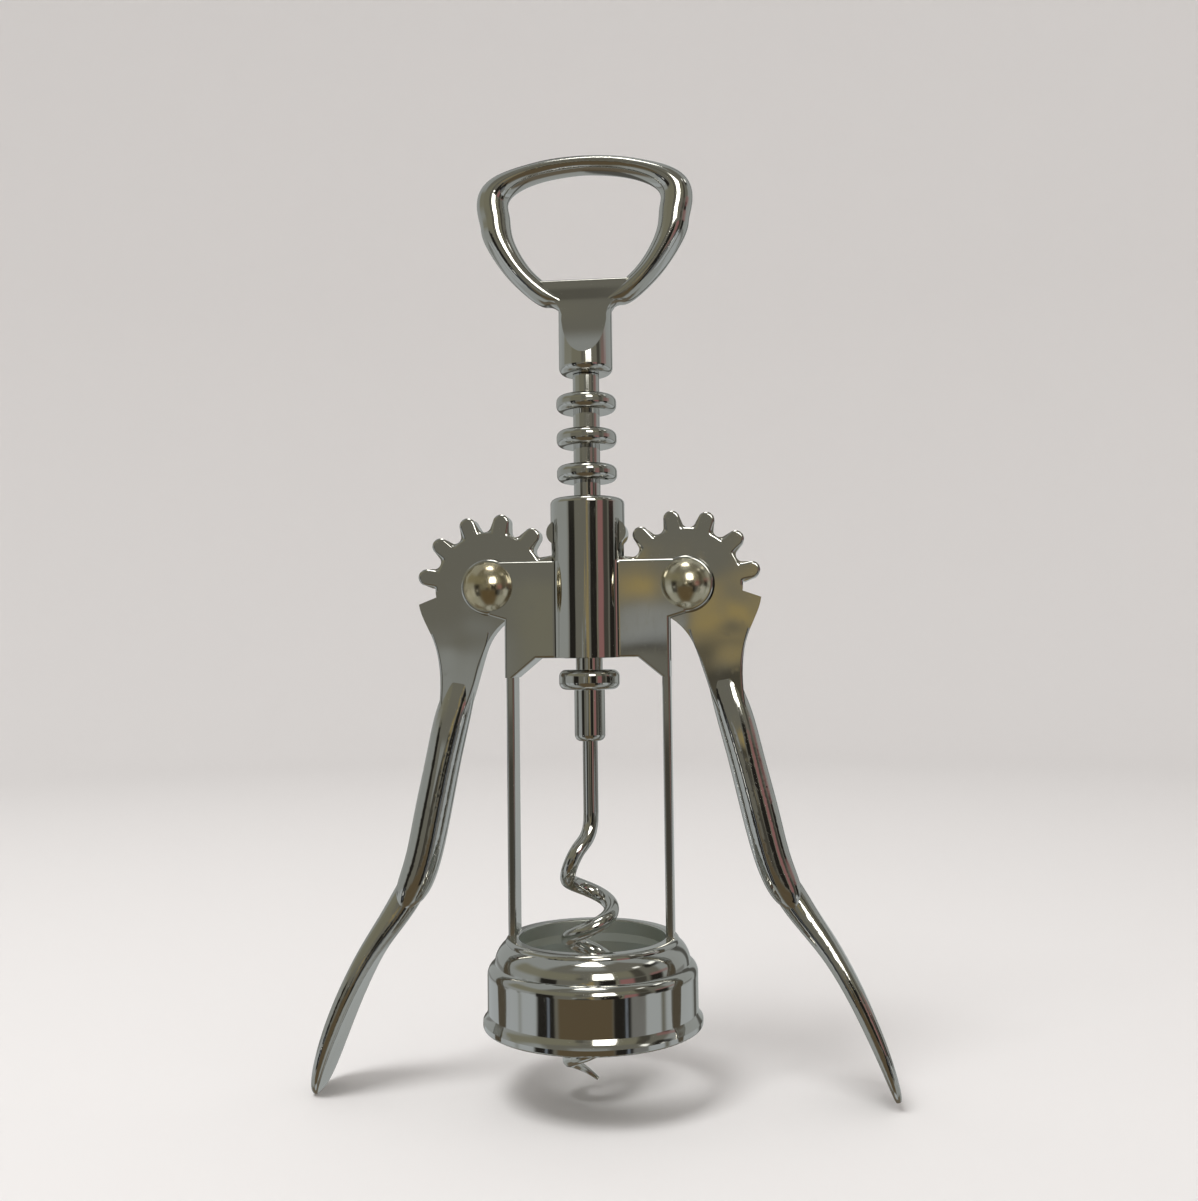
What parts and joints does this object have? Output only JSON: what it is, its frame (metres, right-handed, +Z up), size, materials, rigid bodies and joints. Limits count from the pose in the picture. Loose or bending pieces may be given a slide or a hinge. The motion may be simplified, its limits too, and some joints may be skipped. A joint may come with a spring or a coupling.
{
  "type": "wing corkscrew",
  "caption": "Rack-and-pinion wing corkscrew: bell frame, two toothed levers, ringed rack, wire worm and a ring handle with a cap-lifter lip.",
  "frame": {"origin": "centre of the bell's bottom rim, on the worm's axis", "axes": "+Z up the worm's axis to the handle, +X to the right lever, -Y the front, where the handle is scooped"},
  "size_m": [0.1018, 0.0384, 0.1669],
  "materials": {
    "frame_plating": "bright chrome plate on a zinc casting",
    "lever_plating": "bright chrome plate on a zinc casting, thin and brassy in places",
    "handle_plating": "bright chrome plate on a zinc casting",
    "rack_plating": "bright chrome plate on turned steel",
    "worm_plating": "bright chrome plate on steel wire",
    "rivet_plating": "bright chrome plate on steel",
    "pin_steel": "plain steel"
  },
  "bodies": {
    "frame": {"bell_frame": "frame_plating", "pivot_rivets": "rivet_plating"},
    "rack": {"rack_sleeve": "rack_plating"},
    "spindle": {"handle": "handle_plating", "worm": "worm_plating", "worm_collar": "rack_plating", "handle_pin": "pin_steel"},
    "left_lever": {"left_lever": "lever_plating"},
    "right_lever": {"right_lever": "lever_plating"}
  },
  "joints": [
    {"name": "rack_slide", "type": "slide", "parent": "frame", "child": "rack", "axis": [0, 0, 1], "range_m": [-0.031, 0.0026]},
    {"name": "handle_turn", "type": "hinge", "parent": "rack", "child": "spindle", "pos_m": [0, 0, 0.114], "axis": [0, 0, 1], "continuous": true},
    {"name": "left_lever_swing", "type": "hinge", "parent": "frame", "child": "left_lever", "pos_m": [-0.01738, 0, 0.0764], "axis": [0, 1, 0], "range_deg": [-12.5, 148.1]},
    {"name": "right_lever_swing", "type": "hinge", "parent": "frame", "child": "right_lever", "pos_m": [0.01738, 0, 0.0764], "axis": [0, 1, 0], "range_deg": [-148.1, 12.5]}
  ],
  "couplings": [
    {"joint": "left_lever_swing", "follows": "rack_slide", "rad_per_m": -83.333},
    {"joint": "right_lever_swing", "follows": "rack_slide", "rad_per_m": 83.333}
  ]
}
